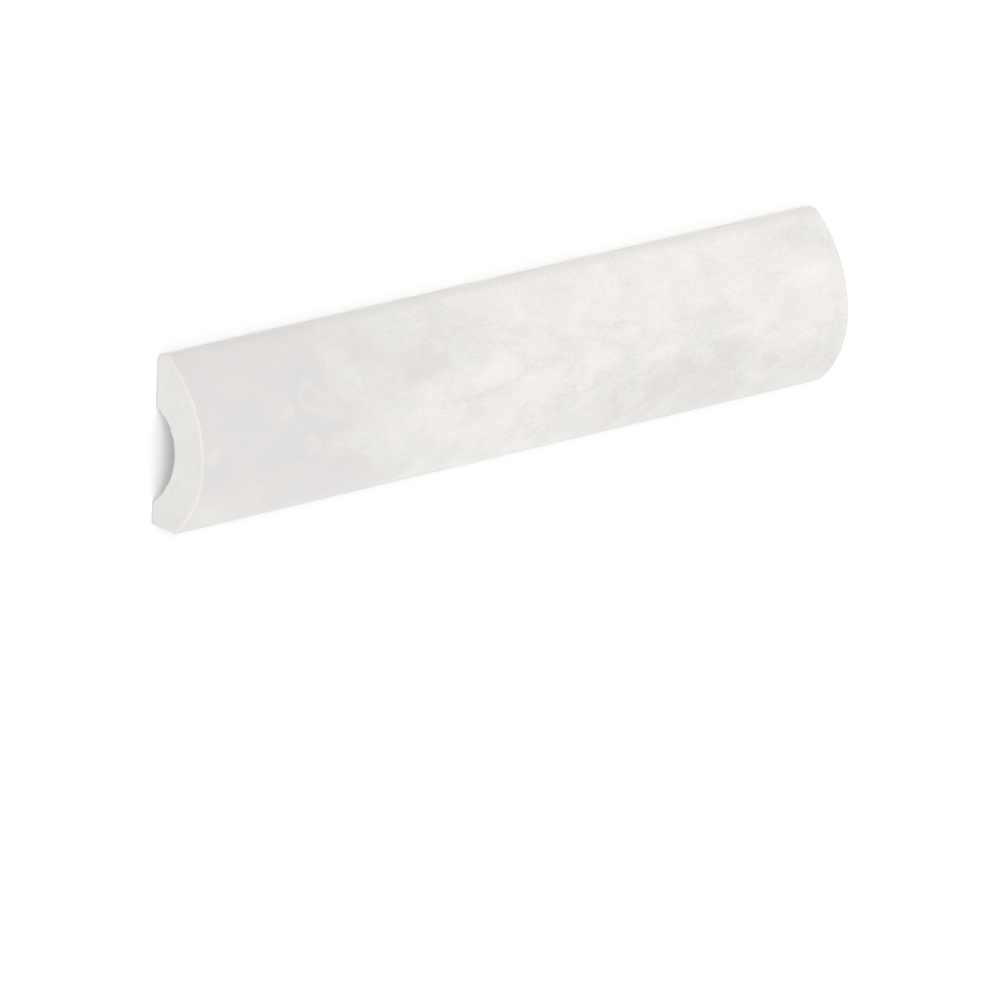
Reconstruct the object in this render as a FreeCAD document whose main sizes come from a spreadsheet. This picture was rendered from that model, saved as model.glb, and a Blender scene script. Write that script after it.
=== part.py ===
# Pencil bullnose trim tile: one fired clay piece, 200 mm long and 30 mm wide.
# A convex glazed face runs from a thick butt edge, which meets the field tiles, over a crown to a thin
# rounded edge that dies into the wall. The back is flat, with one round hollow along its whole length
# that takes the adhesive and keeps the clay about equally thick everywhere.
# X runs along the tile, Y across it towards the thin edge, and Z out of the glazed face.
# The origin is the middle of the back, so the tile lies on its two back lands.
import FreeCAD, Part
import Sketcher
import math
import os

# Each driving dimension: its name, millimetres, and what it measures
DRIVING_DIMENSIONS = (
    ("tile_length", 200.0, "end to end"),
    ("tile_width", 30.0, "butt edge to thin edge"),
    ("crown_height", 10.0, "thickness at the crown"),
    ("crown_shift", 3.5, "crown from mid width, towards the butt edge"),
    ("butt_side_radius", 15.5, "face from the crown to the butt edge"),
    ("thin_side_radius", 26.0, "face from the crown to the thin edge"),
    ("butt_edge_draft", 1.1, "how far the butt edge is set back at the wall"),
    ("butt_arris_radius", 0.6, "glazed corner between the face and the butt edge"),
    ("groove_radius", 10.0, "round hollow in the back"),
    ("groove_depth", 4.0, "deepest point of the hollow"),
    ("groove_shift", 2.0, "hollow from mid width, towards the butt edge"),
    ("nose_radius", 1.0, "both corners of the thin edge"),
    ("back_arris_radius", 0.5, "butt corner of the back, and the hollow's two lips"),
    ("end_arris_radius", 0.4, "outline of both ends"),
)
POSITION_TOLERANCE = 0.01
VOLUME_TOLERANCE = 0.001
X_AXIS = -1  # a sketch's own horizontal axis, whose start is the origin
START, END, CENTRE = 1, 2, 3
OUT_OF_SKETCH = FreeCAD.Vector(0, 0, 1)


def driving_sheet(doc):
    """The spreadsheet that every size comes from."""
    sheet = doc.addObject("Spreadsheet::Sheet", "Dimensions")
    for row, (alias, value, meaning) in enumerate(DRIVING_DIMENSIONS, start=1):
        sheet.set(f"A{row}", alias)
        sheet.set(f"B{row}", str(value))
        sheet.set(f"C{row}", meaning)
        sheet.setAlias(f"B{row}", alias)
    doc.recompute()
    return sheet


def section_sketch(body, name):
    """A sketch across the tile, on the body's own plane, in which x is the tile's Y and y is its Z."""
    sketch = body.newObject("Sketcher::SketchObject", name)
    plane = next(feature for feature in body.Origin.OriginFeatures if feature.Role == "YZ_Plane")
    sketch.AttachmentSupport = [(plane, "")]
    sketch.MapMode = "FlatFace"
    return sketch


def bind_size(sketch, name, expression, constraint):
    """Adds a constraint that has a size, and ties the size to the sheet."""
    index = sketch.addConstraint(constraint)
    sketch.renameConstraint(index, name)
    sketch.setExpression(f"Constraints.{name}", expression)


def at_angle(centre, radius, angle):
    return centre + FreeCAD.Vector(radius * math.cos(angle), radius * math.sin(angle), 0)


def draw_outline(body, sheet):
    """The outline without its hollow, anticlockwise from the foot of the butt edge.

    Flat back, thin edge, then the face in two arcs that share a tangent at the crown, the rounded glazed
    corner, and the butt edge, which leans back under it. The corner's arc touches the full width.
    """
    half_width = sheet.tile_width / 2
    arris = sheet.butt_arris_radius
    crown = FreeCAD.Vector(-sheet.crown_shift, sheet.crown_height, 0)
    butt_centre = crown - FreeCAD.Vector(0, sheet.butt_side_radius, 0)
    thin_centre = crown - FreeCAD.Vector(0, sheet.thin_side_radius, 0)
    thin_foot = FreeCAD.Vector(half_width, 0, 0)
    butt_foot = FreeCAD.Vector(sheet.butt_edge_draft - half_width, 0, 0)

    thin_angle = math.acos((half_width + sheet.crown_shift) / sheet.thin_side_radius)
    thin_top = at_angle(thin_centre, sheet.thin_side_radius, thin_angle)
    arris_angle = math.pi - math.acos(
        (half_width - arris - sheet.crown_shift) / (sheet.butt_side_radius - arris)
    )
    arris_centre = at_angle(butt_centre, sheet.butt_side_radius - arris, arris_angle)
    reach = arris_centre - butt_foot
    edge_angle = math.atan2(reach.y, reach.x) + math.asin(arris / reach.Length)
    arris_end_angle = edge_angle + math.pi / 2
    arris_foot = at_angle(arris_centre, arris, arris_end_angle)

    sketch = section_sketch(body, "TileOutline")
    thin_circle = Part.Circle(thin_centre, OUT_OF_SKETCH, sheet.thin_side_radius)
    butt_circle = Part.Circle(butt_centre, OUT_OF_SKETCH, sheet.butt_side_radius)
    arris_circle = Part.Circle(arris_centre, OUT_OF_SKETCH, arris)
    back, thin_edge, thin_face, butt_face, butt_arris, butt_edge = sketch.addGeometry(
        [
            Part.LineSegment(butt_foot, thin_foot),
            Part.LineSegment(thin_foot, thin_top),
            Part.ArcOfCircle(thin_circle, thin_angle, math.pi / 2),
            Part.ArcOfCircle(butt_circle, math.pi / 2, arris_angle),
            Part.ArcOfCircle(arris_circle, arris_angle, arris_end_angle),
            Part.LineSegment(arris_foot, butt_foot),
        ],
        False,
    )
    for constraint in (
        Sketcher.Constraint("Coincident", back, END, thin_edge, START),
        Sketcher.Constraint("Coincident", thin_edge, END, thin_face, START),
        Sketcher.Constraint("Tangent", thin_face, END, butt_face, START),
        Sketcher.Constraint("Tangent", butt_face, END, butt_arris, START),
        Sketcher.Constraint("Tangent", butt_arris, END, butt_edge, START),
        Sketcher.Constraint("Coincident", butt_edge, END, back, START),
        Sketcher.Constraint("PointOnObject", back, START, X_AXIS),
        Sketcher.Constraint("Horizontal", back),
        Sketcher.Constraint("Vertical", thin_edge),
        Sketcher.Constraint("Vertical", thin_face, CENTRE, thin_face, END),
    ):
        sketch.addConstraint(constraint)
    for name, expression, constraint in (
        ("thin_half_width", "Dimensions.tile_width / 2",
         Sketcher.Constraint("DistanceX", X_AXIS, START, back, END, half_width)),
        ("butt_arris_centre", "Dimensions.tile_width / 2 - Dimensions.butt_arris_radius",
         Sketcher.Constraint("DistanceX", butt_arris, CENTRE, X_AXIS, START, half_width - arris)),
        ("butt_foot", "Dimensions.tile_width / 2 - Dimensions.butt_edge_draft",
         Sketcher.Constraint("DistanceX", back, START, X_AXIS, START, -butt_foot.x)),
        ("crown_shift", "Dimensions.crown_shift",
         Sketcher.Constraint("DistanceX", thin_face, END, X_AXIS, START, sheet.crown_shift)),
        ("crown_height", "Dimensions.crown_height",
         Sketcher.Constraint("DistanceY", X_AXIS, START, thin_face, END, sheet.crown_height)),
        ("thin_side_radius", "Dimensions.thin_side_radius",
         Sketcher.Constraint("Radius", thin_face, sheet.thin_side_radius)),
        ("butt_side_radius", "Dimensions.butt_side_radius",
         Sketcher.Constraint("Radius", butt_face, sheet.butt_side_radius)),
        ("butt_arris_radius", "Dimensions.butt_arris_radius",
         Sketcher.Constraint("Radius", butt_arris, arris)),
    ):
        bind_size(sketch, name, expression, constraint)
    return sketch, butt_foot, thin_foot, thin_top


def draw_groove(body, sheet):
    """The circle that scoops the hollow out of the back. Its centre lies behind the tile."""
    centre_depth = sheet.groove_radius - sheet.groove_depth
    centre = FreeCAD.Vector(-sheet.groove_shift, -centre_depth, 0)
    sketch = section_sketch(body, "GrooveCircle")
    circle = sketch.addGeometry(Part.Circle(centre, OUT_OF_SKETCH, sheet.groove_radius), False)
    for name, expression, constraint in (
        ("groove_radius", "Dimensions.groove_radius",
         Sketcher.Constraint("Radius", circle, sheet.groove_radius)),
        ("groove_shift", "Dimensions.groove_shift",
         Sketcher.Constraint("DistanceX", circle, CENTRE, X_AXIS, START, sheet.groove_shift)),
        ("centre_depth", "Dimensions.groove_radius - Dimensions.groove_depth",
         Sketcher.Constraint("DistanceY", circle, CENTRE, X_AXIS, START, centre_depth)),
    ):
        bind_size(sketch, name, expression, constraint)
    return sketch


def groove_lips(sheet):
    """Where the hollow meets the back, and the area of its segment of the circle."""
    radius = sheet.groove_radius
    centre_depth = radius - sheet.groove_depth
    half_chord = math.sqrt(radius**2 - centre_depth**2)
    area = radius**2 * math.asin(half_chord / radius) - half_chord * centre_depth
    lips = [FreeCAD.Vector(side * half_chord - sheet.groove_shift, 0, 0) for side in (-1, 1)]
    return lips, area


def long_edges_at(shape, places):
    """Names of the edges that run the length of the tile through these points of the section."""
    names = []
    for number, edge in enumerate(shape.Edges, start=1):
        first, last = edge.Vertexes[0].Point, edge.Vertexes[-1].Point
        runs_along = abs(first.y - last.y) + abs(first.z - last.z) < POSITION_TOLERANCE
        for place in places:
            if runs_along and abs(first.y - place.x) + abs(first.z - place.y) < POSITION_TOLERANCE:
                names.append(f"Edge{number}")
    if len(names) != len(places):
        raise RuntimeError(f"{len(names)} edges found at {len(places)} places")
    return names


def end_outline_edges(shape, half_length):
    """Names of all edges that lie in the two end planes."""
    return [
        f"Edge{number}"
        for number, edge in enumerate(shape.Edges, start=1)
        if all(abs(abs(corner.Point.x) - half_length) < POSITION_TOLERANCE for corner in edge.Vertexes)
    ]


def round_edges(body, name, base, edge_names, radius_alias):
    """A fillet on these edges of the base feature, with its radius from the sheet."""
    fillet = body.newObject("PartDesign::Fillet", name)
    fillet.Base = (base, edge_names)
    fillet.setExpression("Radius", f"Dimensions.{radius_alias}")
    body.Document.recompute()
    return fillet


def make_bullnose_tile(doc, sheet):
    """The whole tile: its extruded section, the hollow in its back, then its softened edges."""
    body = doc.addObject("PartDesign::Body", "BullnoseTile")
    body.Label = "bullnose_tile"

    outline, butt_foot, thin_foot, thin_top = draw_outline(body, sheet)
    blank = body.newObject("PartDesign::Pad", "TileBlank")
    blank.Profile = outline
    blank.SideType = "Symmetric"
    blank.setExpression("Length", "Dimensions.tile_length")
    doc.recompute()

    groove = body.newObject("PartDesign::Pocket", "BackGroove")
    groove.Profile = draw_groove(body, sheet)
    groove.Type = "ThroughAll"
    groove.SideType = "Symmetric"
    doc.recompute()
    lips, segment_area = groove_lips(sheet)
    expected = segment_area * sheet.tile_length
    removed = blank.Shape.Volume - groove.Shape.Volume
    if abs(removed - expected) > VOLUME_TOLERANCE * expected:
        raise RuntimeError(f"the groove took {removed:.1f} cubic mm and not {expected:.1f}")

    nose_edges = long_edges_at(groove.Shape, [thin_foot, thin_top])
    nose = round_edges(body, "ThinEdgeNose", groove, nose_edges, "nose_radius")
    back_edges = long_edges_at(nose.Shape, [butt_foot, *lips])
    back_arrises = round_edges(body, "BackArrises", nose, back_edges, "back_arris_radius")
    end_edges = end_outline_edges(back_arrises.Shape, sheet.tile_length / 2)
    round_edges(body, "EndArrises", back_arrises, end_edges, "end_arris_radius")
    return body


def write_parts(doc, bodies):
    """Checks every object, then writes each body's solid to parts/NODE.step."""
    for thing in doc.Objects:
        if "Invalid" in thing.State or "Error" in thing.State:
            raise RuntimeError(f"{thing.Name} failed: {thing.State}")
    os.makedirs("parts", exist_ok=True)
    for body in bodies:
        shape = body.Shape
        if shape.isNull() or not shape.isValid() or len(shape.Solids) != 1:
            raise RuntimeError(f"{body.Label} is not one valid solid")
        shape.exportStep(f"parts/{body.Label}.step")
        box = shape.optimalBoundingBox(False, False)
        print(f"{body.Label}: {box.XLength:.2f} x {box.YLength:.2f} x {box.ZLength:.2f} mm,")
        print(f"  {shape.Volume / 1000:.2f} cubic cm, {len(shape.Faces)} faces")


doc = FreeCAD.newDocument("BullnoseTile")
sheet = driving_sheet(doc)
tile = make_bullnose_tile(doc, sheet)
doc.recompute()
write_parts(doc, [tile])
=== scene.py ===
import math

import bmesh
import bpy
import numpy as np
from mathutils import Matrix, Vector


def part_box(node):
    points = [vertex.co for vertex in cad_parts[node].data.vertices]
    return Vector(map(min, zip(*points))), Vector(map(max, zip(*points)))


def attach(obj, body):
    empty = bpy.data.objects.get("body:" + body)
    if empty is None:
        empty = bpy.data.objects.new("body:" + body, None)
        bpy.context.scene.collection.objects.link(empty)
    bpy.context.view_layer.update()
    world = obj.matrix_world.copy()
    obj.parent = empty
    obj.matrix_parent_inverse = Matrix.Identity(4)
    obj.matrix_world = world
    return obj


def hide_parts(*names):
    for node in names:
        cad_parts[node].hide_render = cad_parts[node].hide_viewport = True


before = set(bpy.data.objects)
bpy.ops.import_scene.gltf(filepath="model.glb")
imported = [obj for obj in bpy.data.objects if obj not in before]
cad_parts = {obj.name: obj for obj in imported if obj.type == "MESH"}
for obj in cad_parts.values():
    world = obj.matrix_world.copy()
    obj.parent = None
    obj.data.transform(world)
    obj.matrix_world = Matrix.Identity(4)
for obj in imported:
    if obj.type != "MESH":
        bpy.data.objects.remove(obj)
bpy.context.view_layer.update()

MM = 0.001
TILE_NODE = "bullnose_tile"

# The section in millimetres, as the solid has it: Y across the tile, Z out of the face
HALF_LENGTH, HALF_WIDTH, CROWN_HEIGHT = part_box(TILE_NODE)[1] / MM
CROWN_SHIFT = 3.5
BUTT_SIDE_RADIUS = 15.5
THIN_SIDE_RADIUS = 26.0
BUTT_EDGE_DRAFT = 1.1
BUTT_ARRIS_RADIUS = 0.6
GROOVE_RADIUS = 10.0
GROOVE_DEPTH = 4.0
GROOVE_SHIFT = 2.0
NOSE_RADIUS = 1.0
BACK_ARRIS_RADIUS = 0.5
END_ARRIS_RADIUS = 0.4

# How finely the surface is divided, and how near two points are one, in millimetres
LENGTH_STEPS = 340
END_ARRIS_STEPS = 5
ARRIS_STEPS = 4
BUTT_LAND_STEPS, LIP_STEPS, GROOVE_STEPS, THIN_LAND_STEPS = 9, 4, 58, 21
BUTT_EDGE_STEPS = 16
LOWER_NOSE_STEPS, THIN_EDGE_STEPS, UPPER_NOSE_STEPS = 10, 7, 7
WELD_DISTANCE = 0.001
FACE_STEPS = BUTT_LAND_STEPS + LIP_STEPS + GROOVE_STEPS + LIP_STEPS + THIN_LAND_STEPS
THIN_START = FACE_STEPS
FACE_START = THIN_START + LOWER_NOSE_STEPS + THIN_EDGE_STEPS + UPPER_NOSE_STEPS
BUTT_START = FACE_START + FACE_STEPS

# The glaze in millimetres: where it stops past the face's edges, and how it stands over the fired body
GLAZE_OVER_NOSE = 1.7
GLAZE_OVER_BUTT_EDGE = 2.3
GLAZE_OVER_END = 0.28
GLAZE_THICKNESS = 0.1
GLAZE_STEP_WIDTH = 0.35
LINE_WANDER = 0.22
# How far from the back's edges the bare clay begins to lie lower than the glaze, and where it does in full
STEP_START, STEP_END = 0.3, 1.2

# The relief in millimetres: how high it is, how far it is eased in, and how far its middle lies under the
# solid's surface, in its own heights. The drag lines are eased in over steps of the ring, and drawn out
# along the tile by their stretch
WAVE_HEIGHT, WAVE_EASE, WAVE_ALLOWANCE = 0.045, 3.0, 1.6
BEAD_HEIGHT, BEAD_PLACE, BEAD_EASE = 0.03, 1.8, 1.0
DRAG_DEPTH, DRAG_STRETCH, DRAG_EASE_STEPS, DRAG_ALLOWANCE = 0.05, 60, 4, 0.6
END_UNEVENNESS, END_EASE = 0.03, 1.5

# The map that the finish is kept on: the long sides above, and both ends in a strip below
MAP_MARGIN = 0.006
END_STRIP = 0.1

# The picture in pixels, and the line of sight on it: its angles in degrees off the face's own direction,
# its length in metres, and the sensor in millimetres
PICTURE_SIDE = 1000
ORIGIN_PIXEL = (483.8, 364.7)
PIXELS_PER_METRE = 5907.0
VIEW_TURN, VIEW_LIFT, VIEW_ROLL = 57.2, 10.3, 2.3
VIEW_DISTANCE = 4.123
SENSOR_WIDTH = 36.0


def eased(value, low, high):
    """0 below low and 1 above high, with 3 s^2 - 2 s^3 of the share s between them."""
    share = np.clip((value - low) / (high - low), 0, 1)
    return share * share * (3 - 2 * share)


def crossing_waves(along, across, longest, shortest, count, seed):
    """Soft unevenness of about -1 to 1: sines crossing at seeded angles, each as high as it is long.

    Each is sin(2 pi (along cos h + across sin h) / wavelength + phase), and the squares of the heights add
    up to 1.
    """
    random = np.random.default_rng(seed)
    wavelength = longest * (shortest / longest) ** np.linspace(0, 1, count)
    heading, phase = random.uniform(0, math.pi, count), random.uniform(0, 2 * math.pi, count)
    height = wavelength / np.sqrt((wavelength**2).sum())
    way = (along * math.cos(turn) + across * math.sin(turn) for turn in heading)
    return sum(high * np.sin(2 * math.pi * distance / size + start)
               for distance, size, start, high in zip(way, wavelength, phase, height))


# The section's curves


def arc(centre, radius, start, end, steps):
    """Centre + radius (cos a, sin a), with the angle a going evenly from start to end, in radians."""
    angle = np.linspace(start, end, steps + 1)
    return np.column_stack([centre[0] + radius * np.cos(angle), centre[1] + radius * np.sin(angle)])


def straight(start, end, steps):
    """Start (1 - s) + end s, with the share s going evenly from 0 to 1."""
    share = np.linspace(0, 1, steps + 1)[:, None]
    return np.array(start) * (1 - share) + np.array(end) * share


def chained(*stretches):
    """Stretches that each begin where the last one ends, as one curve without the repeated points."""
    return np.vstack([stretches[0]] + [stretch[1:] for stretch in stretches[1:]])


def back_curve():
    """The back from the butt side to the thin side: a land, the hollow with its rounded lips, a land.

    Each lip's arc touches its land and the groove's circle from outside, so the two centres are both
    radii apart, and the angle's sine is the lip centre's height above the groove's centre over that.
    """
    reach = GROOVE_RADIUS + BACK_ARRIS_RADIUS
    angle = math.asin((GROOVE_RADIUS - GROOVE_DEPTH + BACK_ARRIS_RADIUS) / reach)
    groove = (-GROOVE_SHIFT, GROOVE_DEPTH - GROOVE_RADIUS)
    butt_lip = (-GROOVE_SHIFT - reach * math.cos(angle), BACK_ARRIS_RADIUS)
    thin_lip = (-GROOVE_SHIFT + reach * math.cos(angle), BACK_ARRIS_RADIUS)
    return chained(
        straight((butt_foot_centre()[0], 0), (butt_lip[0], 0), BUTT_LAND_STEPS),
        arc(butt_lip, BACK_ARRIS_RADIUS, -math.pi / 2, -angle, LIP_STEPS),
        arc(groove, GROOVE_RADIUS, math.pi - angle, angle, GROOVE_STEPS),
        arc(thin_lip, BACK_ARRIS_RADIUS, math.pi + angle, math.pi * 3 / 2, LIP_STEPS),
        straight((thin_lip[0], 0), (HALF_WIDTH - NOSE_RADIUS, 0), THIN_LAND_STEPS),
    )


def face_angles():
    """The angles at which the face ends on its two arcs, where the corners' arcs touch it from inside."""
    thin = math.acos((HALF_WIDTH - NOSE_RADIUS + CROWN_SHIFT) / (THIN_SIDE_RADIUS - NOSE_RADIUS))
    run = BUTT_ARRIS_RADIUS - HALF_WIDTH + CROWN_SHIFT
    butt = math.acos(run / (BUTT_SIDE_RADIUS - BUTT_ARRIS_RADIUS))
    return thin, butt


def face_curve():
    """The face from thin edge to butt edge: two arcs with one tangent at the crown, in even steps."""
    thin_angle, butt_angle = face_angles()
    thin_length = (math.pi / 2 - thin_angle) * THIN_SIDE_RADIUS
    butt_length = (butt_angle - math.pi / 2) * BUTT_SIDE_RADIUS
    way = np.linspace(0, thin_length + butt_length, FACE_STEPS + 1)
    radius = np.where(way < thin_length, THIN_SIDE_RADIUS, BUTT_SIDE_RADIUS)
    angle = math.pi / 2 + (way - thin_length) / radius
    return np.column_stack([radius * np.cos(angle) - CROWN_SHIFT,
                            radius * np.sin(angle) - radius + CROWN_HEIGHT])


def thin_edge_curve():
    """The thin edge from back to face: a quarter round, a short flat, and an arc that meets the face."""
    thin_angle = face_angles()[0]
    centre_y = HALF_WIDTH - NOSE_RADIUS
    top_z = CROWN_HEIGHT - THIN_SIDE_RADIUS + (THIN_SIDE_RADIUS - NOSE_RADIUS) * math.sin(thin_angle)
    lower = arc((centre_y, NOSE_RADIUS), NOSE_RADIUS, -math.pi / 2, 0, LOWER_NOSE_STEPS)
    upper = arc((centre_y, top_z), NOSE_RADIUS, 0, thin_angle, UPPER_NOSE_STEPS)
    return chained(lower, straight(lower[-1], upper[0], THIN_EDGE_STEPS), upper)


def butt_arris_centre():
    """The centre of the glazed corner's arc: one radius inside the tile's width and the face's arc."""
    butt_angle = face_angles()[1]
    return (BUTT_ARRIS_RADIUS - HALF_WIDTH,
            CROWN_HEIGHT - BUTT_SIDE_RADIUS + (BUTT_SIDE_RADIUS - BUTT_ARRIS_RADIUS) * math.sin(butt_angle))


def butt_edge_lean():
    """How far the butt edge leans under. Its line passes the foot and touches the glazed corner's arc."""
    centre_y, centre_z = butt_arris_centre()
    run = BUTT_EDGE_DRAFT - HALF_WIDTH - centre_y
    return math.atan2(run, centre_z) + math.asin(BUTT_ARRIS_RADIUS / math.hypot(run, centre_z))


def butt_foot_centre():
    """The centre of the arc between the butt edge and the back: one radius inside both."""
    lean = butt_edge_lean()
    shift = BACK_ARRIS_RADIUS * (1 - math.sin(lean)) / math.cos(lean)
    return BUTT_EDGE_DRAFT - HALF_WIDTH + shift, BACK_ARRIS_RADIUS


def butt_edge_curve():
    """The butt edge from face to back: the glazed corner's arc, the leaning flat, and the foot's arc."""
    outwards = math.pi + butt_edge_lean()
    upper = arc(butt_arris_centre(), BUTT_ARRIS_RADIUS, face_angles()[1], outwards, ARRIS_STEPS)
    lower = arc(butt_foot_centre(), BACK_ARRIS_RADIUS, outwards, math.pi * 3 / 2, ARRIS_STEPS)
    return chained(upper, straight(upper[-1], lower[0], BUTT_EDGE_STEPS), lower)


def ring_normals(ring):
    """Outward unit normals of a closed ring: the mean of those of the two steps that meet at each point."""
    step = np.diff(ring, axis=0)
    normal = np.column_stack([step[:, 1], -step[:, 0]])
    normal /= np.linalg.norm(normal, axis=1, keepdims=True)
    mean = np.vstack([normal, normal[:1]]) + np.vstack([normal[-1:], normal])
    return mean / np.linalg.norm(mean, axis=1, keepdims=True)


# The tile's surface


def glaze_line_wander(place):
    """How far the glaze's edge strays from its line, in mm, at a place along it."""
    return LINE_WANDER * crossing_waves(place, 0, longest=34, shortest=1.6, count=22, seed=7)


def face_relief(along, across, edge_distance):
    """The glaze's own surface against the solid's, in mm and never outside it.

    Slow waves less their allowance, eased in from the face's edges, and a low bead beside the edges, where
    the melted glaze drew back: height exp(-((distance - place) / (place / 2))^2).
    """
    waves = crossing_waves(along, across, longest=46, shortest=7, count=18, seed=20)
    waves = WAVE_HEIGHT * (waves - WAVE_ALLOWANCE) * eased(edge_distance, 0, WAVE_EASE)
    bead = BEAD_HEIGHT * np.exp(-(((edge_distance - BEAD_PLACE) / (BEAD_PLACE / 2)) ** 2))
    return np.minimum(waves + bead * eased(edge_distance, 0, BEAD_EASE), 0)


def groove_relief(along, across, ring_place):
    """Faint drag lines along the hollow, in mm: waves that change fast across and hardly along."""
    lines = crossing_waves(along / DRAG_STRETCH, across, longest=3.1, shortest=0.9, count=14, seed=31)
    start, end = BUTT_LAND_STEPS + LIP_STEPS, BUTT_LAND_STEPS + LIP_STEPS + GROOVE_STEPS
    inside = eased(np.minimum(ring_place - start, end - ring_place), 0, DRAG_EASE_STEPS)
    return DRAG_DEPTH * np.minimum(lines - DRAG_ALLOWANCE, 0) * inside


def long_surface():
    """The section's ring carried along X, with the glaze's relief, as rows of points from end to end.

    Over the last stretch X runs on by r sin a while the ring shrinks by r (1 - cos a) along its normals,
    which rounds the tile's ends by r. Each point has its place on the map, its reach, which is how far it
    lies inside the glaze's edge, and how far it lies inside the face's edges.
    """
    ring = chained(back_curve(), thin_edge_curve(), face_curve(), butt_edge_curve())
    normal = ring_normals(ring)
    way = np.concatenate([[0], np.cumsum(np.linalg.norm(np.diff(ring, axis=0), axis=1))])
    turn = np.linspace(0, math.pi / 2, END_ARRIS_STEPS + 1)[1:]
    flank = HALF_LENGTH - END_ARRIS_RADIUS
    middle = np.linspace(-flank, flank, LENGTH_STEPS + 1)
    end_x, end_inset = flank + END_ARRIS_RADIUS * np.sin(turn), END_ARRIS_RADIUS * (1 - np.cos(turn))
    to_rim = flank - abs(middle) + END_ARRIS_RADIUS * math.pi / 2
    end_to_rim = END_ARRIS_RADIUS * (math.pi / 2 - turn)
    x = np.concatenate([-end_x[::-1], middle, end_x])[:, None]
    inset = np.concatenate([end_inset[::-1], 0 * middle, end_inset])[:, None]
    rim_distance = np.concatenate([end_to_rim[::-1], to_rim, end_to_rim])[:, None]

    reach = np.minimum(way - way[FACE_START] + GLAZE_OVER_NOSE,
                       way[BUTT_START] + GLAZE_OVER_BUTT_EDGE - way)
    reach = np.minimum(reach + glaze_line_wander(x), rim_distance + GLAZE_OVER_END + glaze_line_wander(way))
    edge_distance = np.minimum(way - way[FACE_START], way[BUTT_START] - way)
    edge_distance = np.clip(np.minimum(edge_distance, rim_distance), 0, None)
    off_back = eased(np.minimum(way - way[THIN_START], way[-1] - way), STEP_START, STEP_END)
    relief = (face_relief(x, way, edge_distance)
              - GLAZE_THICKNESS * (1 - eased(reach, 0, GLAZE_STEP_WIDTH)) * off_back
              + groove_relief(x, way, np.arange(len(ring))))
    outline = ring + normal * (relief - inset)[..., None]
    points = np.dstack([np.broadcast_to(x, relief.shape), outline])
    map_u = MAP_MARGIN + (x / HALF_LENGTH + 1) / 2 * (1 - 2 * MAP_MARGIN)
    map_v = END_STRIP + (1 - way / way[-1]) * (1 - MAP_MARGIN - END_STRIP)
    places = np.dstack(np.broadcast_arrays(map_u, map_v))
    return points, places, reach, edge_distance


def end_surface(rim, rim_reach, side):
    """An end's face: the rim's four sides blended over a grid, with a faint unevenness of the pressed clay.

    P = (1 - v) back(t) + v face(t) + (1 - t) butt(v) + t thin(v), less the same blend of the four corners.
    """
    parts = (slice(0, THIN_START + 1), slice(THIN_START, FACE_START + 1),
             slice(BUTT_START, FACE_START - 1, -1), slice(len(rim) - 1, BUTT_START - 1, -1))
    back, thin, face, butt = (rim[part] for part in parts)
    _, thin_reach, face_reach, butt_reach = (np.minimum(rim_reach[part], GLAZE_OVER_END) for part in parts)
    t = np.linspace(0, 1, len(back))[:, None, None]
    v = np.linspace(0, 1, len(thin))[None, :, None]
    corners = (1 - t) * ((1 - v) * back[0] + v * face[0]) + t * ((1 - v) * back[-1] + v * face[-1])
    grid = (1 - v) * back[:, None] + v * face[:, None] + (1 - t) * butt[None] + t * thin[None] - corners

    to_back, to_thin, to_face, to_butt = (
        np.linalg.norm(grid - line, axis=2)
        for line in (grid[:, :1], grid[-1:], grid[:, -1:], grid[:1]))
    reach = np.maximum.reduce([face_reach[:, None] - to_face, thin_reach[None] - to_thin,
                               butt_reach[None] - to_butt])
    inside = eased(np.minimum.reduce([to_back, to_thin, to_face, to_butt]), 0, END_EASE)
    across, up = grid[..., 0], grid[..., 1]
    unevenness = crossing_waves(across, up, longest=9, shortest=1.2, count=16, seed=12 + side)
    unevenness = END_UNEVENNESS * (unevenness - WAVE_ALLOWANCE)
    points = np.dstack([side * (HALF_LENGTH + np.minimum(unevenness, 0) * inside), across, up])
    # Each end's map takes its half of the strip, less the margins beside and between the two
    half = 0.5 - 1.5 * MAP_MARGIN
    centre = 0.5 + side * (half + MAP_MARGIN) / 2
    places = np.dstack([centre + side * across / HALF_WIDTH * half / 2,
                        MAP_MARGIN + up / CROWN_HEIGHT * (END_STRIP - 2 * MAP_MARGIN)])
    return points, places, reach, np.zeros(reach.shape)


def cell_corners(rows, columns, first, turned):
    """The corner numbers of a grid's cells, for points numbered row by row from first."""
    number = first + np.arange(rows * columns).reshape(rows, columns)
    corners = [number[:-1, :-1], number[:-1, 1:], number[1:, 1:], number[1:, :-1]]
    return np.stack(corners[::-1] if turned else corners, axis=-1).reshape(-1, 4)


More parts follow.
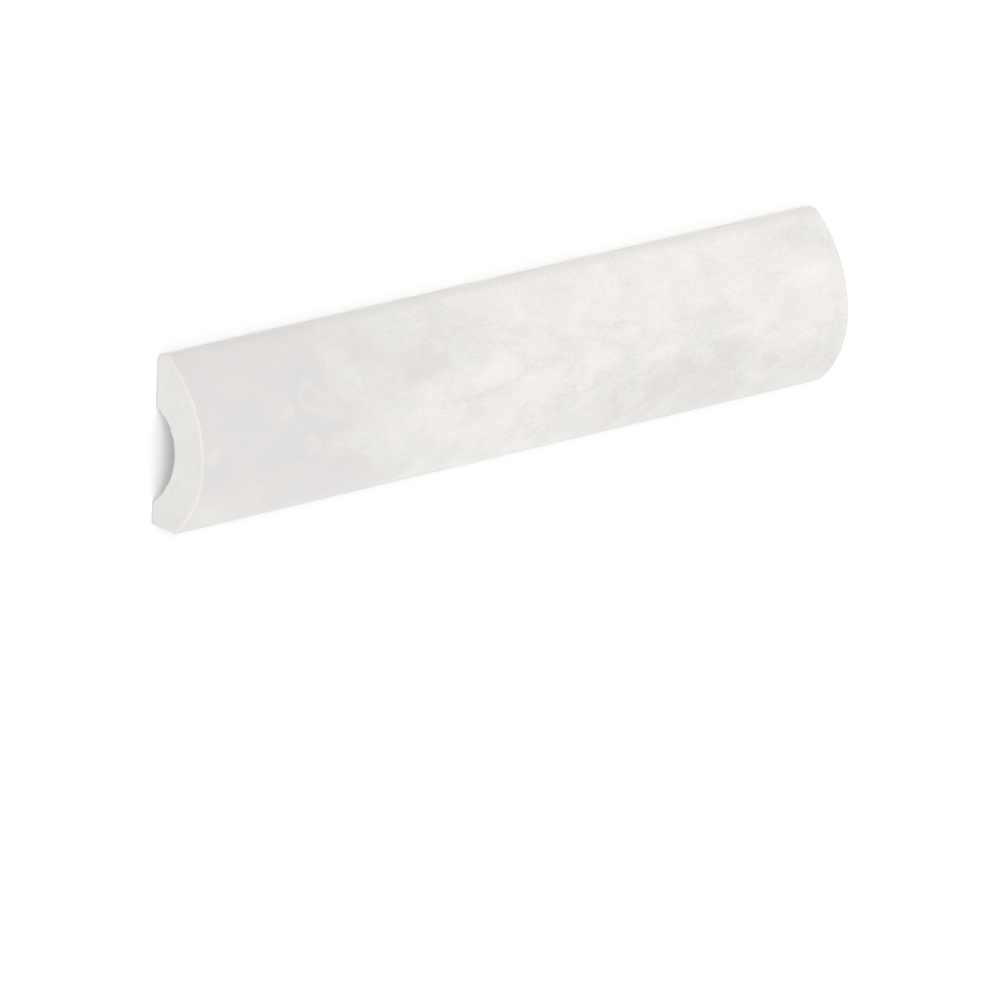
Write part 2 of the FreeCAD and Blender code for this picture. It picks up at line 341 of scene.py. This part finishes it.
def made_tile(name):
    """The long surface and both ends welded into one closed mesh, with the map and what finishes read."""
    long_side = long_surface()
    points, _, reach, _ = long_side
    surfaces = [(*long_side, False),
                (*end_surface(points[0, :, 1:], reach[0], -1), False),
                (*end_surface(points[-1, :, 1:], reach[-1], 1), True)]
    corners, first = [], 0
    for grid, *_, turned in surfaces:
        corners.append(cell_corners(*grid.shape[:2], first, turned))
        first += grid[..., 0].size
    corners = np.vstack(corners)
    mesh = bpy.data.meshes.new(name)
    mesh.from_pydata(np.vstack([surface[0].reshape(-1, 3) for surface in surfaces]) * MM, [], corners)
    places = np.vstack([surface[1].reshape(-1, 2) for surface in surfaces])[corners.ravel()]
    mesh.uv_layers.new(name="OFBake").uv.foreach_set("vector", places.astype(np.float32).ravel())
    for attribute_name, column in (("glaze_reach", 2), ("edge_distance", 3)):
        values = np.concatenate([surface[column].ravel() for surface in surfaces])
        attribute = mesh.attributes.new(attribute_name, "FLOAT", "POINT")
        attribute.data.foreach_set("value", values.astype(np.float32))
    shell = bmesh.new()
    shell.from_mesh(mesh)
    bmesh.ops.remove_doubles(shell, verts=shell.verts, dist=WELD_DISTANCE * MM)
    shell.to_mesh(mesh)
    shell.free()
    mesh.shade_smooth()
    tile = bpy.data.objects.new(name, mesh)
    bpy.context.scene.collection.objects.link(tile)
    return tile


# Finishes


def srgb(red, green, blue):
    """A colour written in display levels of 0 to 255, as the linear RGBA that shaders take."""
    share = np.array([red, green, blue]) / 255
    linear = np.where(share <= 0.04045, share / 12.92, ((share + 0.055) / 1.055) ** 2.4)
    return (*linear.tolist(), 1.0)


class Wire:
    """A value in a finish. Arithmetic on it adds Math nodes and gives another value."""

    def __init__(self, finish, socket):
        self.finish, self.socket = finish, socket

    def math(self, operation, *others):
        """operation(this value, the others)."""
        inputs = dict(enumerate((self, *others)))
        return self.finish.node("ShaderNodeMath", {"operation": operation}, inputs)

    def __add__(self, other):
        return self.math("ADD", other)

    def __sub__(self, other):
        return self.math("SUBTRACT", other)

    def __mul__(self, other):
        return self.math("MULTIPLY", other)

    def __rsub__(self, other):
        return self * -1 + other

    __radd__ = __add__
    __rmul__ = __mul__


class Finish:
    """A node tree of a material or the world, and the few ways in which its nodes are made."""

    def __init__(self, owner):
        owner.use_nodes = True
        self.tree = owner.node_tree
        self.tree.nodes.clear()

    def node(self, kind, settings=None, sockets=None, output=0):
        """Any node: its settings first, then a value or a Wire for each socket. Gives one output's Wire."""
        made = self.tree.nodes.new(kind)
        for name, value in (settings or {}).items():
            if name == "stops":
                while len(made.color_ramp.elements) < len(value):
                    made.color_ramp.elements.new(1)
                for element, (position, colour) in zip(made.color_ramp.elements, value):
                    element.position, element.color = position, colour
            else:
                setattr(made, name, value)
        for name, value in (sockets or {}).items():
            if isinstance(value, Wire):
                self.tree.links.new(value.socket, made.inputs[name])
            else:
                made.inputs[name].default_value = value
        return Wire(self, made.outputs[output]) if made.outputs else None

    def vector(self, operation, *values, output=0, **sockets):
        """operation(the values), done on three numbers at once, such as a place or a colour."""
        inputs = {**dict(enumerate(values)), **sockets}
        return self.node("ShaderNodeVectorMath", {"operation": operation}, inputs, output)

    def place(self):
        """Where a point lies in the tile, in millimetres."""
        metres = self.node("ShaderNodeTexCoord", output="Object")
        return self.vector("SCALE", metres, Scale=1 / MM)

    def noise(self, place, size, detail=2.0, roughness=0.5, output="Fac"):
        """Cloudy noise around 0.5, with its largest features about size millimetres apart."""
        return self.node("ShaderNodeTexNoise", {}, {
            "Vector": place, "Scale": 1 / size, "Detail": detail, "Roughness": roughness}, output)

    def drawn_out(self, place, stretch, size, detail, roughness, output="Fac"):
        """The same noise with its features stretched along the tile."""
        return self.noise(self.vector("DIVIDE", place, (stretch, 1, 1)), size, detail, roughness, output)

    def eased(self, value, low, high):
        """0 below low and 1 above high, with the same soft way between them as in the relief."""
        return self.node("ShaderNodeMapRange", {"interpolation_type": "SMOOTHSTEP"},
                         {"Value": value, "From Min": low, "From Max": high})

    def mixed(self, share, first, second):
        """A number that goes from first to second with the share."""
        return first + (second - first) * share

    def mixed_colour(self, share, first, second):
        """A colour that goes from first to second with the share. Sockets 6, 7 and output 2 are colours."""
        return self.node("ShaderNodeMix", {"data_type": "RGBA"}, {0: share, 6: first, 7: second}, 2)


# Where the glaze lies paler or darker: along, across, half length, half width, lean in degrees, and how
# many display levels
GLAZE_CLOUDS = (
    ("pale tongue left of the middle", -44, -4.2, 17, 2.8, 5, 4.6),
    ("pale bank on the crown", -17, 1.7, 11, 1.8, 3, 3.4),
    ("bright patch past the shore", -55.4, 10.2, 4.4, 1.4, 0, 5.0),
    ("olive patch past the shore", -53, 5.4, 5, 3.0, -6, 2.6),
    ("pale corner by the thin edge", -42, 13.6, 6, 1.5, 0, 3.4),
    ("red patch by the thin edge", -24.5, 11.6, 6.5, 3.4, -20, -6.4),
    ("red patch left of the middle", -29, 4.6, 7.5, 3.0, -8, -5.6),
    ("red drift past the shore", -44, 7.6, 10, 2.2, -10, -2.6),
    ("dim drift over the tongue", -24, 3.4, 12, 2.6, 0, -2.6),
    ("dim drift by the thin edge", -33, 9, 13, 6, 0, -2.6),
    ("olive drift by the middle", -14, 6.2, 8, 3.6, -14, -5.2),
    ("dark arc over the middle", 3, 7.2, 11, 1.0, -4, -4.2),
    ("dark arc right of the middle", 15, 3.6, 10, 1.4, -10, -3.8),
    ("dim patch by the thin edge", 24, 12, 5, 1.8, 0, -3.2),
    ("dim drift under the arc", 13, -3, 10, 4.5, -10, -4.6),
    ("end of the dark arc", 26.5, 1.0, 6, 1.1, -20, -2.8),
    ("pale spot by the thin edge", 17, 8.8, 5, 1.9, 8, 4.8),
    ("long streak on the crown", -16, -1.9, 11, 0.7, 2, -6.0),
    ("short streak on the crown", -2.3, 0.5, 2.4, 0.6, 12, -5.4),
    ("pale streak on the crown", 6, -1.5, 5, 0.7, -6, 2.8),
    ("olive foot left of the middle", -18, -11.4, 8, 2.2, -6, -2.6),
    ("pale drift left of the middle", -28, -7.4, 12, 2.6, 0, 4.0),
    ("pale strokes at the foot", -5.5, -10.6, 6, 2.6, -20, 2.8),
    ("low dark arc", 9, -7.6, 12, 0.9, -6, -3.2),
    ("pale flame at the belt", 19.6, -6, 2.4, 0.8, 18, 3.0),
    ("pale bank by the thin edge", 46, 14, 50, 6.5, 0, 4.0),
    ("grey belt on the butt side", 60, -12, 42, 6.4, 0, -12.8),
    ("upper side of the belt", 52, -5.2, 22, 3.0, -2, -5.2),
    ("head of the belt", 32, -7.5, 8, 4.6, 40, -5.4),
    ("pale patch at the head of the belt", 34.5, -8.6, 2.2, 1.0, 0, 4.4),
    ("pale patch low in the belt", 44.5, -11.3, 3.4, 1.3, -14, 2.4),
    ("pale patch in the belt", 74, -10.4, 5.4, 1.4, -8, 8.0),
    ("grey smudge right of the middle", 54, 0.6, 14, 4.4, -5, -5.4),
    ("heart of the smudge", 62.6, 2.8, 5, 1.7, -8, -4.2),
    ("pale sliver in the smudge", 62.5, -0.8, 5, 0.7, 4, 6.0),
    ("pale spot right of the middle", 52, 9.6, 5, 1.5, 0, 3.8),
    ("shade in the right corner", 90, 12.2, 12, 2.2, 3, -3.4),
    ("small shade by the right end", 80, 6.2, 4.5, 1.5, 0, -4.0),
    ("bright flecks at the right end", 90.5, 6.1, 3.6, 0.8, 6, 10.0),
    ("pale haze at the right end", 92, 5.4, 7, 2.2, -4, 4.4),
    ("trail of pale flecks", 76, 3.2, 8, 0.9, 22, 2.6),
    ("lower smudge by the right end", 90, -3.4, 4.5, 0.9, -8, -2.4),
    ("pale rim over the right foot", 93, -6.8, 5, 0.8, -20, 4.6),
    ("dim crown on the left", -84, 0, 20, 5, 0, -1.8),
    ("pale corner at the left foot", -94.5, -11.6, 7.5, 3.2, -14, 7.4),
    ("pale drift at the left foot", -82.5, -10.6, 5.5, 2.0, -8, 3.8),
    ("dim foot by the shore", -60, -10, 8, 3, 0, -2.0),
    ("pale patch at the left end", -96.6, -1.2, 2.6, 1.7, 14, 7.0),
    ("small patch at the left end", -95.6, 4.4, 1.9, 0.8, -4, 3.0),
    ("red ridge on the left", -84, -2.2, 4.5, 0.8, 14, 2.2),
    ("red foot on the left", -66, -10, 15, 2.6, -8, 1.0),
    ("streak over the left foot", -58.5, -7.6, 4.4, 0.9, -12, -2.4),
    ("red spot by the thin edge", -73, 10.8, 2.6, 1.2, -10, 1.6),
    ("red cloud on the left", -86, 8.4, 5, 2.4, 0, 1.2),
    ("pale flame beside the loop", -74, 3.3, 2.1, 1.0, 18, 5.4),
    ("skirt of the flame", -77.4, 1.6, 4.2, 1.0, 34, 2.0),
    ("dark hollow on the left", -75.6, -3.0, 5.6, 1.9, -10, -2.6),
    ("pale lip beside the loop", -58.4, 2.7, 2.8, 0.35, -28, 3.4),
)

# Where the calm left end stops: how far across, and how far along. A colour ramp carries the line as its
# share of the run from the start, and the change begins before the line and ends after it
SHORE = ((-13.1, -41.7), (-9.6, -46.7), (-6.4, -54.6), (-4.4, -62.3), (-3.0, -61.7), (-1.4, -56.6),
         (0.2, -55.4), (1.4, -56.2), (4.3, -60.6), (14.0, -60.8))
SHORE_START, SHORE_RUN = -65.0, 25.0
SHORE_BEFORE, SHORE_AFTER = 1.6, 2.2

# Faint marks that the melted glaze drew: a loop from its round head to its narrow tail, drawn on the tile
# squeezed in length, and a round spot, given like a cloud
LOOP_HEAD, LOOP_HEAD_RADIUS = (-67.1, 4.7), 2.7
LOOP_TAIL, LOOP_TAIL_RADIUS = (-58.9, 0.5), 1.1
LOOP_SQUEEZE = (0.8, 1, 0)
LOOP_EYE_RADIUS = 1.1
SPOT = (-66.8, -3.3, 3.0, 2.1, -6)
# The lines beside their outlines, each by its middle and half its width: the loop's in millimetres outside
# it, and the spot's ring in shares of the spot's size, like the two places between which the spot fades
LOOP_RIM, LOOP_HALO, SPOT_RING = (-0.8, 0.8), (0.9, 1.0), (1.25, 0.26)
SPOT_FADE = (0.5, 1.1)
RIM_LEVELS, HALO_LEVELS, EYE_LEVELS, SPOT_LEVELS, RING_LEVELS = 2.8, -2.0, -2.2, 3.4, -2.2

# The glaze's tone in display levels: the darkest and the lightest, the left end's, what the shore adds, and
# the right side's, which it reaches between two places along the tile
DARKEST_LEVEL, LIGHTEST_LEVEL = 220.0, 246.0
LEFT_LEVEL, SHORE_LEVELS, RIGHT_LEVEL = 223.4, 3.4, 236.8
RISE_START, RISE_END = -58, -6
# The tones gather at this level and at each rise below it, which gives the cloudy patches their edges
PALE_TERRACE, TERRACE_RISE, TERRACE_PULL = 237.3, 6.5, 0.8

# The drawn-out noises: their stretch along the tile, the size of their largest features in millimetres,
# their detail and their roughness
WIDE_DRIFT = (1, 12, 2, 0.5)
NEAR_DRIFT = (1.8, 2.2, 4, 0.55)
CLOUDINESS = (1.8, 7, 2, 0.55)
STROKES = (4, 1.2, 2, 0.6)
FLECKS = (3.7, 0.25, 2, 0.7)
TINGE = (2.4, 0.6, 4, 0.75)
SMEAR = (3, 5, 4, 0.6)
NOISE_MIDDLE = 0.5
# How far the two drifts move a place, in millimetres, and how much of that the marks and the shore follow
WIDE_REACH, NEAR_REACH = (7, 3, 0), (6, 2.4, 0)
MARK_DRIFT, SHORE_DRIFT = 0.3, 0.65
FLECK_BEND = (0, 5, 0)
# How many levels the noises add at full liveliness, and how lively each part of the glaze is
CLOUDINESS_LEVELS, STROKE_LEVELS, FLECK_LEVELS = 27, 11, 35
LEFT_LIVELINESS, PAST_LIVELINESS, RISE_LIVELINESS, SPOT_LIVELINESS = 0.3, 0.68, 0.34, 0.3
# The share by which the tinge changes red, green and blue, and the tone's share at which it would be gone
RED_TINGE = (0.07, -0.029, 0)
TINGE_CEILING = 1.4
# The same for dark glaze past the shore: in full below the first level, and none above the second
DARK_TINGES = ((224, 231, (0.001, 0, -0.006)), (221.5, 225.5, (0.007, 0, -0.007)))

# The glaze's colour by display level
GLAZE_TONES = tuple(
    ((level - DARKEST_LEVEL) / (LIGHTEST_LEVEL - DARKEST_LEVEL), srgb(*colour)) for level, colour in (
        (220, (221.5, 220.0, 219.9)),
        (222.4, (223.9, 221.7, 221.0)),
        (223.6, (225.8, 222.6, 221.4)),
        (225.2, (228.2, 224.1, 222.0)),
        (226.9, (229.1, 226.5, 223.2)),
        (230.6, (232.1, 230.6, 227.3)),
        (233.6, (236.3, 234.0, 230.5)),
        (236.6, (240.2, 236.8, 232.2)),
        (239.4, (242.0, 238.7, 233.6)),
        (241.8, (243.6, 241.0, 235.7)),
        (246, (247.6, 244.6, 240.6)),
    ))
BODY_TONE = srgb(228.5, 226.5, 224.5)
BODY_SHADE = srgb(220.5, 218.5, 216.5)
BODY_SPECK_TONE = srgb(205, 200, 193)
BARE_ARRIS_TONE = srgb(222, 218, 212)

# The fine surface in millimetres: how large its features are, and how high or deep
GRAIN_SIZE, GRAIN_HEIGHT = 0.5, 0.05
SPECK_SIZE, SPECK_DEPTH = 0.9, 0.02
PEEL_SIZE, PEEL_HEIGHT = 1.6, 0.006
PINHOLE_SPACING, PINHOLE_DEPTH = 7, 0.03
BODY_CLOUD_SIZE = 9
RAG_SIZE, RAG_REACH = 0.7, 0.5
# Between which two values each of them sets in: the glaze, in millimetres from its edge, a speck and the
# body's paler tone, by their noise, a pinhole's rim, in shares of the spacing, and the glaze's full
# thickness, in millimetres from the face's edges
GLAZE_EDGE = (-0.05, 0.12)
SPECK_EDGE = (0.66, 0.74)
BODY_TONE_EDGE = (0.35, 0.65)
PINHOLE_EDGE = (0.012, 0.03)
BARE_ARRIS_EDGE = (0.05, 1.3)
SPECK_SHARE, BARE_ARRIS_SHARE = 0.25, 0.35
BODY_ROUGHNESS, GLAZE_ROUGHNESS, SMEAR_ROUGHNESS = 0.82, 0.26, 0.14
COAT_WEIGHT, COAT_ROUGHNESS = 0.3, 0.2
GLAZE_IOR = 1.5


def from_centre(finish, place, x, y, half_length, half_width, lean):
    """How far a flat place is from a cloud's centre, squared, with 1 on the ellipse of its half sizes."""
    inside = finish.node("ShaderNodeMapping", {"vector_type": "TEXTURE"}, {
        "Vector": place, "Location": (x, y, 0), "Rotation": (0, 0, math.radians(lean)),
        "Scale": (half_length, half_width, 1)})
    return finish.vector("DOT_PRODUCT", inside, inside, output="Value")


def faded(finish, squared):
    """exp(-squared), which is 1 at a cloud's centre and hardly anything past twice its size."""
    return finish.node("ShaderNodeMath", {"operation": "POWER"}, {0: math.exp(-1), 1: squared})


def glaze_clouds(finish, place):
    """The clouds added up, each its levels times what is left of it at the place."""
    total = 0
    for _, *shape, levels in GLAZE_CLOUDS:
        total = faded(finish, from_centre(finish, place, *shape)).math("MULTIPLY_ADD", levels, total)
    return total


def past_shore(finish, place):
    """0 on the calm left end and 1 past its shore, which is a line through set points."""
    parts = [finish.node("ShaderNodeSeparateXYZ", {}, {0: place}, output) for output in (0, 1)]
    stops = [((across / HALF_WIDTH + 1) / 2, (((along - SHORE_START) / SHORE_RUN,) * 3 + (1,)))
             for across, along in SHORE]
    across_share = (parts[1] * (1 / HALF_WIDTH) + 1) * 0.5
    shore = finish.node("ShaderNodeValToRGB", {"stops": stops}, {0: across_share})
    off_shore = parts[0] - shore * SHORE_RUN
    return finish.eased(off_shore, SHORE_START - SHORE_BEFORE, SHORE_START + SHORE_AFTER)


def line_at(finish, value, middle, half_width):
    """exp(-((value - middle) / half width)^2), which is 1 at the middle."""
    off_middle = (value - middle) * (1 / half_width)
    return faded(finish, off_middle * off_middle)


def loop_and_spot(finish, place):
    """The levels that the loop and the round spot add: pale just inside their outlines, dark just outside.

    The loop's outline is a circle that shrinks from head to tail: with h the share of the way along that
    line, from 0 to 1, the distance outside is |p - head - h (tail - head)| less the radius there.
    """
    run = (Vector((*LOOP_TAIL, 0)) - Vector((*LOOP_HEAD, 0))) * Vector(LOOP_SQUEEZE)
    from_head = finish.vector("SUBTRACT", place, (*LOOP_HEAD, 0))
    from_head = finish.vector("MULTIPLY", from_head, LOOP_SQUEEZE)
    share = finish.vector("DOT_PRODUCT", from_head, tuple(run / run.length_squared), output="Value")
    share = share.math("MINIMUM", 1).math("MAXIMUM", 0)
    off_line = finish.vector("SUBTRACT", from_head, finish.vector("SCALE", tuple(run), Scale=share))
    radius = finish.mixed(share, LOOP_HEAD_RADIUS, LOOP_TAIL_RADIUS)
    outside = finish.vector("LENGTH", off_line, output="Value") - radius
    rim, halo = (line_at(finish, outside, *line) for line in (LOOP_RIM, LOOP_HALO))
    eye = line_at(finish, finish.vector("LENGTH", from_head, output="Value"), 0, LOOP_EYE_RADIUS)
    spot = from_centre(finish, place, *SPOT).math("SQRT")
    in_spot = 1 - finish.eased(spot, *SPOT_FADE)
    ring = line_at(finish, spot, *SPOT_RING)
    levels = (rim * RIM_LEVELS + halo * HALO_LEVELS + eye * EYE_LEVELS
              + in_spot * SPOT_LEVELS + ring * RING_LEVELS)
    return levels, in_spot


def glaze_colour(finish, place):
    """The glaze's colour, by its tone in display levels.

    The tone rises at the shore of the calm left end and on along the tile, with the placed clouds and
    marks on it. All are read a little way off, by noise, so that their edges fray. Cloudy noise and
    strokes along the tile are added, and then the tones gather at their terraces: the level is less
    pull sin(2 pi (level - pale terrace) / rise) below the pale one. The fine flecks come last. Noise
    tinges the colour red or green, more so in dark glaze, and past the shore dark glaze is browner.
    """
    wide = finish.drawn_out(place, *WIDE_DRIFT, output="Color")
    near = finish.drawn_out(place, *NEAR_DRIFT, output="Color")
    shift_back = tuple(-(far + close) * NOISE_MIDDLE for far, close in zip(WIDE_REACH, NEAR_REACH))
    drift = finish.vector("MULTIPLY_ADD", wide, WIDE_REACH, shift_back)
    drift = finish.vector("MULTIPLY_ADD", near, NEAR_REACH, drift)
    flat_place = finish.vector("MULTIPLY", place, (1, 1, 0))
    mark_place, shore_place, drifted = (
        finish.vector("MULTIPLY_ADD", drift, (share, share, 0), flat_place)
        for share in (MARK_DRIFT, SHORE_DRIFT, 1))

    past = past_shore(finish, shore_place)
    marks, in_spot = loop_and_spot(finish, mark_place)
    rise = finish.eased(finish.node("ShaderNodeSeparateXYZ", {}, {0: drifted}), RISE_START, RISE_END)
    level = LEFT_LEVEL + past * SHORE_LEVELS + rise * (RIGHT_LEVEL - LEFT_LEVEL - SHORE_LEVELS)
    level = level + glaze_clouds(finish, drifted) + marks
    cloudy = finish.drawn_out(drifted, *CLOUDINESS) - NOISE_MIDDLE
    strokes = finish.drawn_out(drifted, *STROKES) - NOISE_MIDDLE
    bent_place = finish.vector("MULTIPLY_ADD", wide, FLECK_BEND, place)
    flecks = finish.drawn_out(bent_place, *FLECKS) - NOISE_MIDDLE
    liveliness = finish.mixed(past, LEFT_LIVELINESS, PAST_LIVELINESS)
    liveliness = liveliness + rise * RISE_LIVELINESS + in_spot * SPOT_LIVELINESS
    level = level + (cloudy * CLOUDINESS_LEVELS + strokes * STROKE_LEVELS) * liveliness
    above = level.math("MINIMUM", PALE_TERRACE) - PALE_TERRACE
    gathered = (above * (2 * math.pi / TERRACE_RISE)).math("SINE")
    level = level - gathered * rise * TERRACE_PULL + flecks * FLECK_LEVELS * liveliness

    share = (level - DARKEST_LEVEL) * (1 / (LIGHTEST_LEVEL - DARKEST_LEVEL))
    colour = finish.node("ShaderNodeValToRGB", {"stops": GLAZE_TONES}, {0: share})
    strength = (finish.drawn_out(place, *TINGE) - NOISE_MIDDLE) * (TINGE_CEILING - share)
    tinge = finish.vector("SCALE", RED_TINGE, Scale=strength)
    for full_below, none_above, dark_tinge in DARK_TINGES:
        dark = past * (1 - finish.eased(level, full_below, none_above))
        tinge = finish.vector("MULTIPLY_ADD", dark, dark_tinge, tinge)
    return finish.vector("MULTIPLY_ADD", colour, tinge, colour)


def tile_finish():
    """Satin glaze over the face and its edges, and the bare fired body where the glaze stops."""
    material = bpy.data.materials.new("glazed_fired_clay")
    finish = Finish(material)
    place = finish.place()
    reach = finish.node("ShaderNodeAttribute", {"attribute_name": "glaze_reach"}, output="Fac")
    edge_distance = finish.node("ShaderNodeAttribute", {"attribute_name": "edge_distance"}, output="Fac")
    ragged = reach + (finish.noise(place, RAG_SIZE) - NOISE_MIDDLE) * RAG_REACH
    glazed = finish.eased(ragged, *GLAZE_EDGE)

    grain = finish.noise(place, GRAIN_SIZE, detail=4, roughness=0.75)
    specks = finish.eased(finish.noise(place, SPECK_SIZE, detail=1), *SPECK_EDGE)
    body_cloud = finish.noise(place, BODY_CLOUD_SIZE, detail=4, roughness=0.6)
    paler = finish.eased((body_cloud + grain) * 0.5, *BODY_TONE_EDGE)
    body = finish.mixed_colour(paler, BODY_SHADE, BODY_TONE)
    body = finish.mixed_colour(specks * SPECK_SHARE, body, BODY_SPECK_TONE)
    bare = (1 - finish.eased(edge_distance, *BARE_ARRIS_EDGE)) * BARE_ARRIS_SHARE
    glaze = finish.mixed_colour(bare, glaze_colour(finish, place), BARE_ARRIS_TONE)
    colour = finish.mixed_colour(glazed, body, glaze)

    cells = finish.node("ShaderNodeTexVoronoi", {}, {
        "Vector": place, "Scale": 1 / PINHOLE_SPACING}, "Distance")
    pinhole = 1 - finish.eased(cells, *PINHOLE_EDGE)
    peel = finish.noise(place, PEEL_SIZE)
    glaze_height = peel * PEEL_HEIGHT - pinhole * PINHOLE_DEPTH
    body_height = grain * GRAIN_HEIGHT - specks * SPECK_DEPTH
    height = finish.mixed(glazed, body_height, glaze_height)
    normal = finish.node("ShaderNodeBump", {}, {"Height": height, "Distance": MM, "Strength": 1})
    smear = finish.drawn_out(place, *SMEAR)
    roughness = finish.mixed(glazed, BODY_ROUGHNESS, GLAZE_ROUGHNESS + smear * SMEAR_ROUGHNESS)
    shader = finish.node("ShaderNodeBsdfPrincipled", {}, {
        "Base Color": colour, "Roughness": roughness, "Normal": normal,
        "Coat Weight": glazed * COAT_WEIGHT, "Coat Roughness": COAT_ROUGHNESS, "IOR": GLAZE_IOR})
    finish.node("ShaderNodeOutputMaterial", {}, {"Surface": shader})
    return material


# The studio

WHITE = (1, 1, 1, 1)
AMBIENT_LEVEL = 0.63
FLOOR_TONE = 0.88
FLOOR_LIFT = 0.22
FLOOR_HALF_SIDE = 8.0
# Softboxes, far enough away to light the whole floor alike: where from, how wide in degrees, and which
# share of full white each one gives a white sheet that faces it
SOFTBOXES = (
    ("key", (-0.70, 0.27, 0.66), 34, 0.33),
    ("fill", (-0.45, -0.74, 0.50), 50, 0.185),
    ("far light", (0.81, 0.26, 0.52), 50, 0.055),
)


def seen_directly(finish):
    """1 for what the camera sees, by itself, in gloss or through glass, and 0 for the light on things."""
    camera, gloss, glass = (finish.node("ShaderNodeLightPath", output=name)
                            for name in ("Is Camera Ray", "Is Glossy Ray", "Is Transmission Ray"))
    return camera.math("MAXIMUM", gloss).math("MAXIMUM", glass)


def studio_world():
    """A white room, with a lower even light on things than its own white."""
    world = bpy.data.worlds.new("white_room")
    bpy.context.scene.world = world
    finish = Finish(world)
    strength = finish.mixed(seen_directly(finish), AMBIENT_LEVEL, 1)
    shader = finish.node("ShaderNodeBackground", {}, {"Color": WHITE, "Strength": strength})
    finish.node("ShaderNodeOutputWorld", {}, {"Surface": shader})


def studio_floor():
    """A white sheet under the tile that keeps its shadow and is white where nothing shades it."""
    mesh = bpy.data.meshes.new("floor")
    side = FLOOR_HALF_SIDE
    corners = [(-side, -side, 0), (side, -side, 0), (side, side, 0), (-side, side, 0)]
    mesh.from_pydata(corners, [], [(0, 1, 2, 3)])
    floor = bpy.data.objects.new("floor", mesh)
    bpy.context.scene.collection.objects.link(floor)
    material = bpy.data.materials.new("white_sheet")
    finish = Finish(material)
    paper = finish.node("ShaderNodeBsdfDiffuse", {}, {"Color": (FLOOR_TONE, FLOOR_TONE, FLOOR_TONE, 1)})
    lift = seen_directly(finish) * FLOOR_LIFT
    glow = finish.node("ShaderNodeEmission", {}, {"Color": WHITE, "Strength": lift})
    sheet = finish.node("ShaderNodeAddShader", {}, {0: paper, 1: glow})
    finish.node("ShaderNodeOutputMaterial", {}, {"Surface": sheet})
    mesh.materials.append(material)


def studio_lamps():
    """Each softbox as a far round lamp. A strength of pi makes a white sheet that faces it full white."""
    for name, direction, width, share in SOFTBOXES:
        lamp = bpy.data.lights.new(name, "SUN")
        lamp.angle = math.radians(width)
        lamp.energy = share * math.pi
        holder = bpy.data.objects.new(name, lamp)
        holder.rotation_euler = Vector(direction).to_track_quat("Z", "Y").to_euler()
        bpy.context.scene.collection.objects.link(holder)


def picture_camera():
    """The camera on the picture's line of sight, turned so that the tile's origin falls on its pixel."""
    turn, lift, roll = (math.radians(angle) for angle in (VIEW_TURN, VIEW_LIFT, VIEW_ROLL))
    away = Vector((-math.sin(turn) * math.cos(lift), math.sin(lift), math.cos(turn) * math.cos(lift)))
    level_right = (-away).cross(Vector((0, 1, 0))).normalized()
    level_up = level_right.cross(-away)
    right = level_right * math.cos(roll) + level_up * math.sin(roll)
    up = level_up * math.cos(roll) - level_right * math.sin(roll)
    middle = PICTURE_SIDE / 2
    aim = (right * (middle - ORIGIN_PIXEL[0]) + up * (ORIGIN_PIXEL[1] - middle)) / PIXELS_PER_METRE
    place = away * VIEW_DISTANCE
    back = (place - aim).normalized()
    side = up.cross(back).normalized()
    lens = bpy.data.cameras.new("picture_camera")
    lens.sensor_width = SENSOR_WIDTH
    lens.lens = PIXELS_PER_METRE * VIEW_DISTANCE / PICTURE_SIDE * SENSOR_WIDTH
    camera = bpy.data.objects.new("picture_camera", lens)
    turned = Matrix((side, back.cross(side), back)).transposed().to_4x4()
    camera.matrix_world = Matrix.Translation(place) @ turned
    bpy.context.scene.collection.objects.link(camera)
    bpy.context.scene.camera = camera


picture_camera()
bpy.context.scene.view_settings.view_transform = "Standard"
studio_world()
studio_floor()
studio_lamps()

tile = made_tile("glazed_bullnose_tile")
tile.data.materials.append(tile_finish())
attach(tile, "root")
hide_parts(TILE_NODE)
